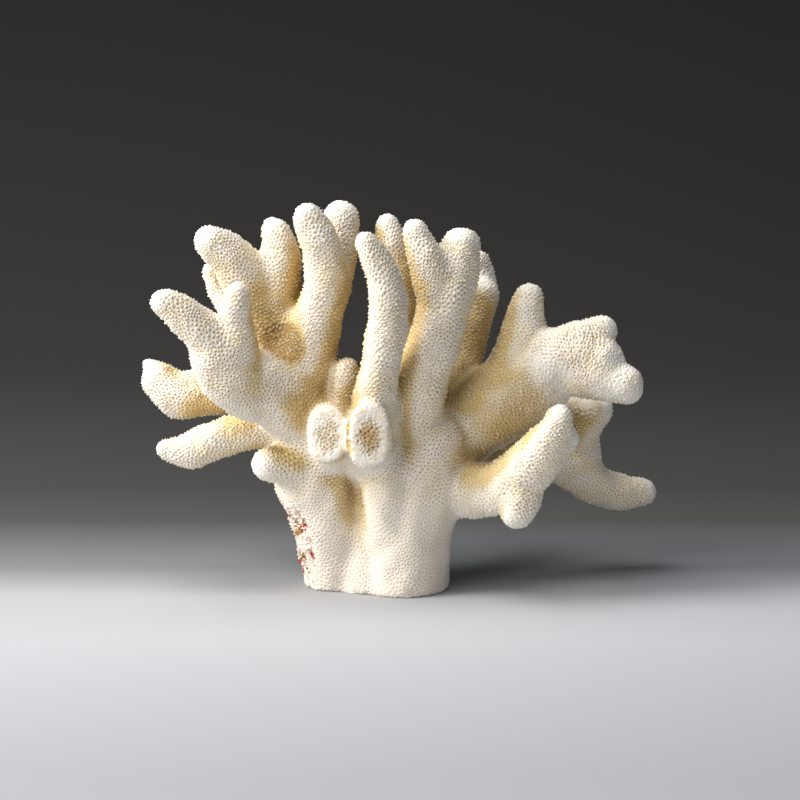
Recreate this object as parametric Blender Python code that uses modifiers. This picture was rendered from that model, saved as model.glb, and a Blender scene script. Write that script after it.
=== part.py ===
"""Skeleton of a cat's paw coral: two stems fused in one foot, cut flat, under a crown of blunt fingers.

Lengths in the limb tables are millimetres: across (+X right), depth (+Y back), up (+Z), then radius.
The origin is the middle of the flat cut that the skeleton stands on.
"""

import math

import bmesh
import bpy
from mathutils import Matrix, Vector

MM = 0.001

COLLECTION = "cats_paw_coral_skeleton"
CUTTERS = "cutters"

SKELETON_COLOUR = (0.78, 0.70, 0.56, 1.0)
SKELETON_ROUGHNESS = 0.85

# Fusing and thinning of the surface; smoothing takes the skin allowance off every limb again
VOXEL = 1.0 * MM
SMOOTH_FACTOR = 0.5
SMOOTH_STEPS = 7
SKIN_ALLOWANCE = 0.35
BODY_TRIANGLES = 7100

# Saw line between two pieces
SAW_GAP = 0.3 * MM
SAW_SIDES = 28

TUBE_STEPS = 5
TUBE_SIDES_LEVEL = 4
BALL_LEVEL = 3
SHARP_ANGLE = math.radians(50.0)

# Side of the block that cuts off everything under the foot
BLOCK_SIDE = 300 * MM

# A slanting ray counts the skins between a point and the open air
RAY = Vector((0.31, 0.17, 0.94)).normalized()
RAY_STEP = 0.001 * MM

# Anything smaller, or an enclosed hollow, isn't a piece
CRUMB = 20.0 * MM ** 3

# Corners nearer than this are one corner; the digits of a metre that tell two corners apart
WELD_DISTANCE = 0.001 * MM
CORNER_DIGITS = 9

# A point well inside each of the three pieces that the trunk's limbs fuse into
TRUNK_MARKS = {"stems": (8, 0, 10), "left_palm": (-30, -3, 66), "crown_base": (12, 0, 53)}

# The broken stumps end in rough flats that face forward
STUMP_FLATS = (
    {"centre": (-17.4, -31.0, 59.0), "facing": (-0.04, -0.97, 0.20), "half_sides": (7.1, 14.0)},
    {"centre": (-3.4, -35.5, 59.2), "facing": (0.10, -0.98, 0.12), "half_sides": (9.5, 14.0)},
)
STUMP_CUT_DEPTH = 30.0

# Each limb: squash of its depth, then points from root to tip
TRUNK = {
    "left_stem": (1.15, ((-15.5, 3, -6, 11.0), (-15.5, 3, 0, 11.0), (-17.5, 2, 20, 12.6),
                         (-21, 1, 37, 13.5),
                         (-23.5, -1, 50, 12.5))),
    "left_shoulder": (1.0, ((-22, -2, 29, 9.5), (-28.3, -4, 37.5, 8.2), (-27, -3, 45, 8.8))),
    "right_stem": (1.2, ((8, 0, -6, 16.5), (8, 0, 0, 16.3), (10, -1, 20, 15.0), (13.5, -2, 37, 16.0),
                         (15, -3, 52, 15.5))),
    "right_ridge": (1.0, ((6, -6, 14, 10.5), (4, -10.5, 28, 9.5), (2.5, -14, 42, 8.8),
                          (0.5, -14, 52, 8.5))),
    "front_web": (1.0, ((-5, -3, -6, 11.5), (-5, -2, 10, 11), (-7, 0, 26, 10), (-8.5, 1, 42, 9.5))),
    "middle": (1.0, ((-18, 3, 47, 12), (-4, 5, 52, 11), (12, 0, 54, 14), (26, 2, 54, 12))),
    "heel_back": (1.0, ((-4, 12, -6, 12), (-3, 12, 10, 12), (0, 14, 30, 13), (2, 14, 46, 13))),
    "left_knob": (1.0, ((-26, -6, 45, 8), (-33, -11, 45.6, 6.6), (-38.3, -14, 46.0, 5.7))),
    "left_stump_top": (1.0, ((-15, -6, 57, 8.5), (-17.2, -22, 62.0, 6.0), (-17.9, -44, 63.6, 5.3))),
    "left_stump_middle": (1.0, ((-15, -6, 54, 9), (-17.2, -22, 58.6, 6.2), (-17.9, -44, 59.4, 5.7))),
    "left_stump_low": (1.0, ((-14.5, -6, 50, 9.5), (-17.0, -22, 54.6, 6.2), (-17.9, -44, 54.8, 5.3))),
    "right_stump_top": (1.0, ((-3, -8, 57, 9.5), (-3.0, -24, 62.4, 6.6), (-3.2, -48, 64.0, 6.0))),
    "right_stump_middle": (1.0, ((-3, -8, 54, 10), (-3.0, -24, 58.6, 6.8), (-3.2, -48, 59.6, 6.3))),
    "right_stump_low": (1.0, ((-2, -8, 48, 10.5), (-2.8, -24, 53.8, 7.0), (-3.2, -48, 55.0, 6.0))),
    "small_finger": (1.0, ((-15, -4, 52, 8), (-13.4, -9, 64, 5.2), (-12.1, -12, 72, 4.5),
                           (-11.3, -12, 78.6, 4.1))),
    "core": (1.0, ((-3, 6, -6, 13), (-3, 8, 20, 11.5), (-2, 12, 44, 12))),
    "left_stalk": (1.0, ((-23.5, -2, 48, 13), (-26, -4, 60, 11.8), (-27.6, -4, 72, 10.0),
                         (-25.8, -5, 80, 9.2))),
    "left_web": (1.0, ((-26, -3, 58, 11.5), (-31, -1, 72, 11), (-35.5, 1, 84, 9.5))),
    "left_hand": (0.9, ((-26, -6, 60, 12), (-33, -12, 69, 12), (-43, -17, 75, 11.5))),
    "left_fill": (1.0, ((-27, -7, 74, 9.5), (-30, -4, 83, 8))),
}

FINGERS = {
    "left_front_fingers": {
        "hand": (0.85, ((-36, -12, 70, 10.5), (-44.5, -18, 73.5, 11.0), (-51, -23, 79.5, 10.6),
                        (-54, -25, 85, 9.6))),
        "long": (1.0, ((-50, -23, 82, 9), (-58.2, -26, 92, 7.3), (-64.8, -28, 98.6, 6.1),
                       (-71.5, -30, 103.6, 4.7))),
        "thumb": (1.0, ((-48, -23, 82, 8), (-48.3, -25.5, 92, 6.2), (-47.8, -27, 101, 4.8),
                        (-47.4, -28, 107, 3.6))),
    },
    "left_top_fingers": {
        "lobe": (1.0, ((-35, 2, 84, 9.3), (-42.5, 0, 101.5, 9.0), (-47.8, -3, 112, 8.3),
                       (-53.5, -6, 119, 6.7),
                       (-58.5, -8, 123, 4.9))),
        "upright": (1.0, ((-35, 1, 84, 9), (-36, 0, 98, 7.9), (-34.8, -1, 109, 6.9), (-34.2, -2, 119, 6.2),
                          (-36.2, -2, 126, 4.5))),
        "slender": (1.0, ((-41, 3, 94, 6), (-49.5, 11.5, 95, 5.0), (-55.6, 17.5, 101, 4.3),
                          (-60, 19, 110.4, 3.3))),
    },
    "left_tall_fingers": {
        "front": (1.0, ((-25, -6, 78, 9.2), (-22, -8, 93, 8.0), (-18.6, -11, 107.5, 7.0),
                        (-18.8, -13, 117.7, 6.6),
                        (-21.6, -15, 125.6, 6.1), (-24.4, -16, 131.2, 4.8))),
        "rear": (1.0, ((-22, -4, 93, 7.3), (-19, -2, 102, 7.2), (-16.2, 0, 111.5, 7.0), (-14, 2, 122, 6.4),
                       (-13.6, 3, 129.6, 6.0))),
        "web": (1.0, ((-25, -5, 88, 7.5), (-28.5, -4, 94, 6))),
    },
    "left_paddle": {
        "blade": (0.85, ((-32, 6, 60, 8.5), (-49.5, 11, 66.8, 7.2), (-62.5, 12, 67.4, 7.8),
                         (-71.4, 12, 67, 8.6),
                         (-79, 12, 72.2, 5.9))),
        "nub": (1.0, ((-77, 12, 74.2, 3.6), (-82.3, 12, 77.7, 2.2))),
    },
    "left_lower_arm": {
        "arm": (1.0, ((-26, 0, 50, 9), (-38.5, -1, 56.2, 6.3), (-49, -1.5, 55.2, 6.2), (-58.8, -2, 52, 6.5),
                      (-67.8, -2, 48.6, 5.8), (-75.5, -2, 49.6, 3.2))),
    },
    "front_finger": {
        "finger": (1.0, ((-2, -16, 56, 9), (-1.8, -23, 69, 7.0), (0.2, -26, 80, 6.4), (1.9, -28, 89.2, 6.3),
                         (3, -29, 97.8, 6.3), (2.6, -30, 108, 5.9), (-0.4, -31, 116.6, 4.8),
                         (-4.3, -32, 124, 3.6))),
    },
    "rear_finger": {
        "finger": (1.0, ((6, -4, 58, 9), (6.3, -2, 70, 7.0), (6.4, 1, 81, 6.0), (7, 3, 94.5, 5.5),
                         (6.6, 4, 106.8, 5.4),
                         (4.6, 4, 119, 5.2), (2.8, 4, 127, 4.2))),
    },
    "centre_fork": {
        "stalk": (1.0, ((12, -9, 54, 11), (12.8, -14, 68.5, 9.0), (15.8, -14, 79.6, 8.8),
                        (20.2, -12, 92.4, 8.6),
                        (22.9, -11, 105, 8.6))),
        "left_tine": (1.0, ((21, -12, 103, 7.5), (18.6, -13, 109.6, 6.8), (15.2, -14, 118.6, 5.6),
                            (12.3, -14, 126.4, 4.1))),
        "right_lobe": (1.0, ((24, -10, 104, 8), (26, -9, 111.4, 7.7), (27.8, -8, 120.4, 6.8))),
    },
    "right_rear_finger": {
        "finger": (1.0, ((22, 4, 56, 11), (27.5, 8, 70.8, 8), (31.3, 13, 82.5, 5.3),
                         (34.6, 13.5, 93.3, 4.9),
                         (36.8, 13, 102.5, 4.9))),
        "rear_tip": (1.0, ((34, 14, 92, 4.8), (37.2, 17.5, 104, 4.5), (34.4, 18, 113.6, 4.0))),
    },
    "right_arm": {
        "arm": (0.8, ((24, 2, 54, 13), (41, 0, 65.5, 14), (55.5, -3, 77, 11.6), (66, -5, 82, 10.6),
                      (75, -7, 80, 9.6))),
        "upper_tip": (0.85, ((60, -4, 83, 9), (70, -5, 87.5, 7.6), (77, -4, 91.3, 5.2))),
        "lower_tip": (0.9, ((70, -6, 79, 9), (78, -8, 76, 8), (84.7, -10, 73.2, 6.2))),
        "upright": (0.95, ((47.5, 0, 76, 10.5), (49.6, 0, 88, 7.8), (50.8, 0, 96.5, 6.4),
                           (51.5, 0, 103.2, 4.3))),
        "underside": (0.9, ((41, 0, 61, 9.5), (49, -1, 65, 10), (57, -3, 71.5, 9))),
    },
    "right_front_arm": {
        "arm": (1.0, ((27, -6, 36, 10), (40.6, -16, 38.0, 8.6), (51, -24, 47, 8.6), (57.6, -28, 56.2, 7.3),
                      (60.9, -30, 65, 4.2))),
        "lump": (1.0, ((57, -26, 54, 6.5), (63.6, -27, 56.8, 4.2))),
        "lower_knob": (1.0, ((45, -20, 39, 8.5), (48.2, -23.5, 37.6, 7.2), (47, -25, 31.6, 5.8))),
    },
    "right_back_arm": {
        "arm": (1.0, ((28, 8, 40, 9), (50.6, 18, 39, 6.5), (62, 23, 40.6, 6.4), (71, 26, 36.4, 7.4),
                      (80, 28, 30.6, 6.8), (89, 29, 28.2, 6.0), (95.2, 30, 28.5, 5.1))),
        "upright": (1.0, ((73.5, 27, 40, 6.5), (71.8, 27, 51, 5.7), (70.4, 26, 60, 4.6))),
        "rear_lobe": (1.0, ((72, 25, 49, 5.2), (79.4, 21, 60.5, 4.3))),
        "rear_web": (1.0, ((73, 25, 50, 5.5), (74.8, 23.5, 58.5, 4.8))),
    },
    "back_left_finger": {
        "finger": (1.0, ((-11, 15, 48, 9), (-28, 32, 68, 6.6), (-36, 41, 82, 5.8), (-41, 46, 94, 4.4))),
        "side_tip": (1.0, ((-31, 36, 74, 5.6), (-26, 45, 82, 5.0), (-24, 51, 90, 4.0))),
    },
    "back_left_arm": {
        "arm": (1.0, ((-14, 16, 38, 9), (-32, 38, 46, 6.5), (-43, 49, 53, 6.0), (-50, 55, 59, 4.5))),
        "side_tip": (1.0, ((-37, 43, 50, 5.8), (-36, 53, 59, 5.0), (-38, 57, 66, 4.0))),
    },
    "back_middle_finger": {
        "finger": (1.0, ((8, 18, 50, 9), (16, 34, 66, 6.6), (21, 41, 80, 6.0), (24, 44, 94, 4.6))),
        "side_tip": (1.0, ((18, 38, 70, 5.5), (12, 48, 78, 5.2), (9, 54, 85, 4.0))),
    },
    "back_right_arm": {
        "arm": (1.0, ((18, 14, 40, 9), (38, 34, 44, 7.2), (49, 47, 50, 6.4), (57, 56, 55, 4.6))),
        "upright": (1.0, ((40, 36, 48, 6.5), (46, 44, 58, 5.6), (49, 48, 66, 4.4))),
    },
}

# Saw line under each piece: middle, direction of growth, radius of the round saw cut,
# or half its sides where the cut is a rectangle
SAW_LINES = {
    "crown_base": ((-4, 4, 30), (0.18, 0, 0.983), (29, 36)),
    "left_palm": ((-24.15, -3.1, 58.4), (-1, 0.2, 0.48), (17.8, 26.2)),
    "left_front_fingers": ((-41, -16, 74.5), (-0.85, -0.45, 0.3), 15),
    "left_top_fingers": ((-34.8, -0.5, 87.5), (-0.3, 0.1, 0.95), 13),
    "left_tall_fingers": ((-22.5, -3, 86.5), (0.3, 0, 1), 15.5),
    "left_finger_web": ((-28.9, -2, 98.8), (0.995, 0, -0.1), (15, 11.5)),
    "left_paddle": ((-55, 11.5, 67.2), (-1, -0.1, 0), 9.5),
    "left_lower_arm": ((-55, -1.8, 53.6), (-1, 0, -0.2), 8.2),
    "front_finger": ((-1.2, -24, 76), (0.1, -0.25, 1), 9),
    "rear_finger": ((6.5, 1.5, 84), (0, 0.15, 1), 7.8),
    "centre_fork": ((16.5, -14, 83), (0.35, 0.1, 1), 10.5),
    "right_rear_finger": ((31.7, 12.5, 82), (0.3, 0.2, 1), 7.8),
    "right_arm": ((31.2, 4.5, 62.4), (0.8, 0, 0.6), 18.8),
    "right_front_arm": ((38, -14, 38.0), (0.75, -0.6, 0.1), 12),
    "right_back_arm": ((43, 14.0, 38.5), (0.85, 0.5, -0.05), 9.5),
    "back_left_finger": ((-23.3, 27.5, 62.5), (-0.45, 0.6, 0.65), 9.8),
    "back_left_arm": ((-29.5, 35, 45), (-0.6, 0.75, 0.3), 8.8),
    "back_middle_finger": ((14, 30, 61.5), (0.3, 0.65, 0.7), 9),
    "back_right_arm": ((36, 32, 43.6), (0.7, 0.7, 0.15), 9.5),
}


def clear_scene():
    for obj in list(bpy.data.objects):
        bpy.data.objects.remove(obj, do_unlink=True)


def new_collection(name):
    made = bpy.data.collections.new(name)
    bpy.context.scene.collection.children.link(made)
    return made


def coral_material(name):
    made = bpy.data.materials.new(name)
    made.use_nodes = True
    shader = made.node_tree.nodes["Principled BSDF"]
    shader.inputs["Base Color"].default_value = SKELETON_COLOUR
    shader.inputs["Roughness"].default_value = SKELETON_ROUGHNESS
    shader.inputs["Metallic"].default_value = 0.0
    made.diffuse_color = SKELETON_COLOUR
    return made


def add_tube(shape, squash, points):
    """Adds a tapered tube through the points, with a ball on each end, to the bmesh shape."""
    curve = bpy.data.curves.new("limb", "CURVE")
    curve.dimensions = "3D"
    curve.bevel_depth = MM
    curve.bevel_resolution = TUBE_SIDES_LEVEL
    curve.use_fill_caps = True
    curve.resolution_u = TUBE_STEPS
    spline = curve.splines.new("BEZIER")
    spline.bezier_points.add(len(points) - 1)
    for knot, (across, depth, up, radius) in zip(spline.bezier_points, points):
        knot.co = Vector((across, depth / squash, up)) * MM
        knot.radius = radius + SKIN_ALLOWANCE
        knot.handle_left_type = "AUTO"
        knot.handle_right_type = "AUTO"
    limb = bpy.data.objects.new("limb", curve)
    bpy.context.scene.collection.objects.link(limb)
    flat = Matrix.Diagonal((1.0, squash, 1.0, 1.0))
    bpy.context.view_layer.update()
    tube = bpy.data.meshes.new_from_object(limb.evaluated_get(bpy.context.evaluated_depsgraph_get()))
    tube.transform(flat)
    shape.from_mesh(tube)
    for across, depth, up, radius in (points[0], points[-1]):
        place = Matrix.Translation(Vector((across, depth / squash, up)) * MM)
        bmesh.ops.create_icosphere(
            shape, subdivisions=BALL_LEVEL, radius=(radius + SKIN_ALLOWANCE) * MM, matrix=flat @ place
        )
    bpy.data.objects.remove(limb, do_unlink=True)
    bpy.data.curves.remove(curve)
    bpy.data.meshes.remove(tube)


def finished_mesh(obj):
    """The object's mesh with its modifiers applied, and the object removed."""
    bpy.context.view_layer.update()
    mesh = bpy.data.meshes.new_from_object(obj.evaluated_get(bpy.context.evaluated_depsgraph_get()))
    bpy.data.objects.remove(obj, do_unlink=True)
    return mesh


def fused_body():
    """All limbs as one skin: overlapping tubes joined on a voxel grid, filleted, then thinned."""
    shape = bmesh.new()
    groups = [TRUNK] + list(FINGERS.values())
    for group in groups:
        for squash, points in group.values():
            add_tube(shape, squash, points)
    bmesh.ops.remove_doubles(shape, verts=shape.verts, dist=WELD_DISTANCE)
    bmesh.ops.recalc_face_normals(shape, faces=shape.faces)
    mesh = bpy.data.meshes.new("body")
    shape.to_mesh(mesh)
    shape.free()
    body = bpy.data.objects.new("body", mesh)
    bpy.context.scene.collection.objects.link(body)
    fuse = body.modifiers.new("Fuse", "REMESH")
    fuse.mode = "VOXEL"
    fuse.voxel_size = VOXEL
    fillet = body.modifiers.new("Fillet", "SMOOTH")
    fillet.factor = SMOOTH_FACTOR
    fillet.iterations = SMOOTH_STEPS
    skin = finished_mesh(body)
    skin.calc_loop_triangles()
    share = BODY_TRIANGLES / len(skin.loop_triangles)
    body = bpy.data.objects.new("body", skin)
    bpy.context.scene.collection.objects.link(body)
    thin = body.modifiers.new("Thin", "DECIMATE")
    thin.ratio = share
    thin.use_collapse_triangulate = True
    skin = finished_mesh(body)
    body = bpy.data.objects.new("body", skin)
    bpy.context.scene.collection.objects.link(body)
    return body


def cutter(name, shape, collection):
    mesh = bpy.data.meshes.new(name)
    bmesh.ops.recalc_face_normals(shape, faces=shape.faces)
    shape.to_mesh(mesh)
    shape.free()
    made = bpy.data.objects.new(name, mesh)
    made.hide_render = True
    made.display_type = "WIRE"
    collection.objects.link(made)
    return made


def facing_matrix(centre, direction):
    """Places +Z of a shape along the direction at the centre, given in millimetres."""
    turn = Vector(direction).normalized().to_track_quat("Z", "Y").to_matrix().to_4x4()
    return Matrix.Translation(Vector(centre) * MM) @ turn


def floor_block(collection):
    shape = bmesh.new()
    place = Matrix.Translation((0.0, 0.0, -BLOCK_SIDE / 2)) @ Matrix.Scale(BLOCK_SIDE, 4)
    bmesh.ops.create_cube(shape, size=1.0, matrix=place)
    return cutter("floor_cut", shape, collection)


def saw(name, centre, direction, size, thickness, collection, lift=0.0):
    """A thin round or rectangular slab across the direction, its middle lifted along it."""
    shape = bmesh.new()
    place = facing_matrix(centre, direction) @ Matrix.Translation((0.0, 0.0, lift))
    if isinstance(size, tuple):
        sides = Matrix.Diagonal((2 * size[0] * MM, 2 * size[1] * MM, thickness, 1.0))
        bmesh.ops.create_cube(shape, size=1.0, matrix=place @ sides)
    else:
        bmesh.ops.create_cone(
            shape,
            cap_ends=True,
            segments=SAW_SIDES,
            radius1=size * MM,
            radius2=size * MM,
            depth=thickness,
            matrix=place,
        )
    return cutter(name, shape, collection)


def cut(body, tool):
    step = body.modifiers.new(tool.name, "BOOLEAN")
    step.operation = "DIFFERENCE"
    step.solver = "EXACT"
    step.object = tool


def loose_parts(mesh):
    """The closed shells of a mesh, each as a list of its faces' corner positions."""
    shape = bmesh.new()
    shape.from_mesh(mesh)
    left = set(shape.faces)
    shells = []
    while left:
        stack = [left.pop()]
        shell = []
        while stack:
            face = stack.pop()
            shell.append(face)
            for edge in face.edges:
                for other in edge.link_faces:
                    if other in left:
                        left.remove(other)
                        stack.append(other)
        shells.append([[corner.co.copy() for corner in face.verts] for face in shell])
    shape.free()
    return [shell for shell in shells if volume(shell) > CRUMB]


def volume(shell):
    """Signed volume of a closed shell: the faces' cones from the origin, summed."""
    total = 0.0
    for corners in shell:
        for second, third in zip(corners[1:-1], corners[2:]):
            total += corners[0].dot(second.cross(third)) / 6.0
    return total


def shell_object(name, shell, collection, material):
    shape = bmesh.new()
    made = {}
    for corners in shell:
        face = []
        for corner in corners:
            key = tuple(round(value, CORNER_DIGITS) for value in corner)
            if key not in made:
                made[key] = shape.verts.new(corner)
            face.append(made[key])
        shape.faces.new(face)
    bmesh.ops.triangulate(shape, faces=shape.faces)
    mesh = bpy.data.meshes.new(name)
    shape.to_mesh(mesh)
    shape.free()
    mesh.materials.append(material)
    mesh.shade_smooth()
    mesh.set_sharp_from_angle(angle=SHARP_ANGLE)
    obj = bpy.data.objects.new(name, mesh)
    collection.objects.link(obj)
    return obj


def inside(obj, point):
    """Whether a ray from the point crosses the closed skin an odd number of times."""
    crossings = 0
    hit, place, _, _ = obj.ray_cast(point, RAY)
    while hit:
        crossings += 1
        hit, place, _, _ = obj.ray_cast(place + RAY * RAY_STEP, RAY)
    return crossings % 2 == 1


def marker_points():
    """A point well inside each piece; in a finger, the last but one point of its first limb."""
    marks = {name: next(iter(limbs.values()))[1][-2][:3] for name, limbs in FINGERS.items()}
    marks.update(TRUNK_MARKS)
    return {name: Vector(place) * MM for name, place in marks.items()}


def build():
    clear_scene()
    parts = new_collection(COLLECTION)
    cutters = new_collection(CUTTERS)
    material = coral_material("coral_skeleton")
    body = fused_body()
    cut(body, floor_block(cutters))
    for index, flat in enumerate(STUMP_FLATS):
        lift = STUMP_CUT_DEPTH * MM / 2
        tool = saw(
            f"stump_cut_{index}", flat["centre"], flat["facing"], flat["half_sides"], 2 * lift, cutters, lift
        )
        cut(body, tool)
    for name, (centre, direction, size) in SAW_LINES.items():
        cut(body, saw("saw_" + name, centre, direction, size, SAW_GAP, cutters))
    mesh = finished_mesh(body)
    shells = loose_parts(mesh)
    bpy.data.meshes.remove(mesh)
    marks = marker_points()
    for shell in shells:
        obj = shell_object("piece", shell, parts, material)
        bpy.context.view_layer.update()
        names = [name for name, point in marks.items() if inside(obj, point)]
        if len(names) != 1:
            print("UNNAMED SHELL", len(shell), names)
        obj.name = names[0] if len(names) == 1 else f"spare_{len(shell)}"


build()
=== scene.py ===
import bmesh
import bpy
import numpy as np
from mathutils import Matrix, Vector


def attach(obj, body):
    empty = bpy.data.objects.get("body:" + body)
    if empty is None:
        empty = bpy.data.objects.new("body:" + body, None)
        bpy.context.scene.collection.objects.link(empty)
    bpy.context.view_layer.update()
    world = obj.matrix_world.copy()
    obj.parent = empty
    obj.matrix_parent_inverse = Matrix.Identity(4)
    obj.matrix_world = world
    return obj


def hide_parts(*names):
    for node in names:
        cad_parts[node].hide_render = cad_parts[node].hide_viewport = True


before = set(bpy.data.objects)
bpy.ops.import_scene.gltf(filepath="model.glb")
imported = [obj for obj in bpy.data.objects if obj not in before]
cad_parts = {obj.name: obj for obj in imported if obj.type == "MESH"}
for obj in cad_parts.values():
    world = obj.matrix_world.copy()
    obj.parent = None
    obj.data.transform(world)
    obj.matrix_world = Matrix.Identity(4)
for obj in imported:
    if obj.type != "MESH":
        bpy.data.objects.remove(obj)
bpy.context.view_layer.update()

# Camera: level with the crown and a little above it, as the skeleton was photographed.
# Its long lens flattens the branches against each other, and the cut foot stands near the lower edge.
MM = 0.001
CAMERA_ELEVATION = np.radians(8.0)
CAMERA_DISTANCE = 780.0 * MM
CAMERA_TARGET = np.array((7.0, 0.0, 66.5)) * MM
VIEW_WIDTH = 280.0 * MM

camera_data = bpy.data.cameras.new("camera")
camera_data.sensor_width = 36.0
camera_data.lens = camera_data.sensor_width * CAMERA_DISTANCE / VIEW_WIDTH
camera_data.clip_end = 10.0
camera = bpy.data.objects.new("camera", camera_data)
camera.location = CAMERA_TARGET + CAMERA_DISTANCE * np.array(
    (0.0, -np.cos(CAMERA_ELEVATION), np.sin(CAMERA_ELEVATION))
)
camera.rotation_euler = (np.pi / 2 - CAMERA_ELEVATION, 0.0, 0.0)
bpy.context.scene.collection.objects.link(camera)
bpy.context.scene.camera = camera


# Grown form of the skeleton: two stems fused in one foot, and the fingers that fork from them.
# The living coral laid it down as one piece of aragonite, thickest where it is oldest, near the foot.
# Lengths are millimetres: across (+X), depth (+Y back), up (+Z), radius; first the squash of the depth.
TRUNK = {
    "left_stem": (1.15, ((-15.5, 3, -6, 11.0), (-15.5, 3, 0, 11.0), (-17.5, 2, 20, 12.6), (-21, 1, 37, 13.5),
                         (-23.5, -1, 50, 12.5))),
    "left_shoulder": (1.0, ((-22, -2, 29, 9.5), (-28.3, -4, 37.5, 8.2), (-27, -3, 45, 8.8))),
    "right_stem": (1.2, ((8, 0, -6, 16.5), (8, 0, 0, 16.3), (10, -1, 20, 15.0), (13.5, -2, 37, 16.0),
                         (15, -3, 52, 15.5))),
    "right_ridge": (1.0, ((6, -6, 14, 10.5), (4, -10.5, 28, 9.5), (2.5, -14, 42, 8.8), (0.5, -14, 52, 8.5))),
    "front_web": (1.0, ((-5, -3, -6, 11.5), (-5, -1.5, 10, 11), (-7, 1.2, 26, 9.8), (-8.5, 2.6, 42, 9.2))),
    "middle": (1.0, ((-18, 3, 47, 12), (-4, 5, 52, 11), (12, 0, 54, 14), (26, 2, 54, 12))),
    "heel_back": (1.0, ((-4, 12, -6, 12), (-3, 12, 10, 12), (0, 14, 30, 13), (2, 14, 46, 13))),
    "left_knob": (1.0, ((-26, -6, 45, 8), (-33, -11, 45.6, 6.6), (-38.3, -14, 46.0, 5.7))),
    "left_stump_top": (1.0, ((-15, -6, 57, 8.5), (-17.2, -22, 62.0, 6.0), (-17.9, -44, 63.6, 5.3))),
    "left_stump_middle": (1.0, ((-15, -6, 54, 9), (-17.2, -22, 58.6, 6.2), (-17.9, -44, 59.4, 5.7))),
    "left_stump_low": (1.0, ((-14.5, -6, 50, 9.5), (-17.0, -22, 54.6, 6.2), (-17.9, -44, 54.8, 5.3))),
    "right_stump_top": (1.0, ((-3, -8, 57, 9.5), (-3.0, -24, 62.4, 6.6), (-3.2, -48, 64.0, 6.0))),
    "right_stump_middle": (1.0, ((-3, -8, 54, 10), (-3.0, -24, 58.6, 6.8), (-3.2, -48, 59.6, 6.3))),
    "right_stump_low": (1.0, ((-2, -8, 48, 10.5), (-2.8, -24, 53.8, 7.0), (-3.2, -48, 55.0, 6.0))),
    "small_finger": (1.0, ((-15, -4, 52, 8), (-13.4, -9, 64, 5.2), (-12.1, -12, 72, 4.5),
                           (-11.3, -12, 78.6, 4.1))),
    "core": (1.0, ((-3, 6, -6, 13), (-3, 8, 20, 11.5), (-2, 12, 44, 12))),
    "left_stalk": (1.0, ((-23.5, -2, 48, 13), (-26, -4, 60, 11.8), (-27.6, -4, 72, 10.0),
                         (-25.8, -5, 80, 9.2))),
    "left_web": (1.0, ((-26, -3, 58, 11.5), (-31, -1, 72, 11), (-35.5, 1, 84, 9.5))),
    "left_hand": (0.9, ((-26, -6, 60, 12), (-33, -12, 69, 12), (-43, -17, 75, 11.5))),
    "left_fill": (1.0, ((-27, -7, 74, 9.5), (-30, -4, 83, 8))),
}
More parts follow.
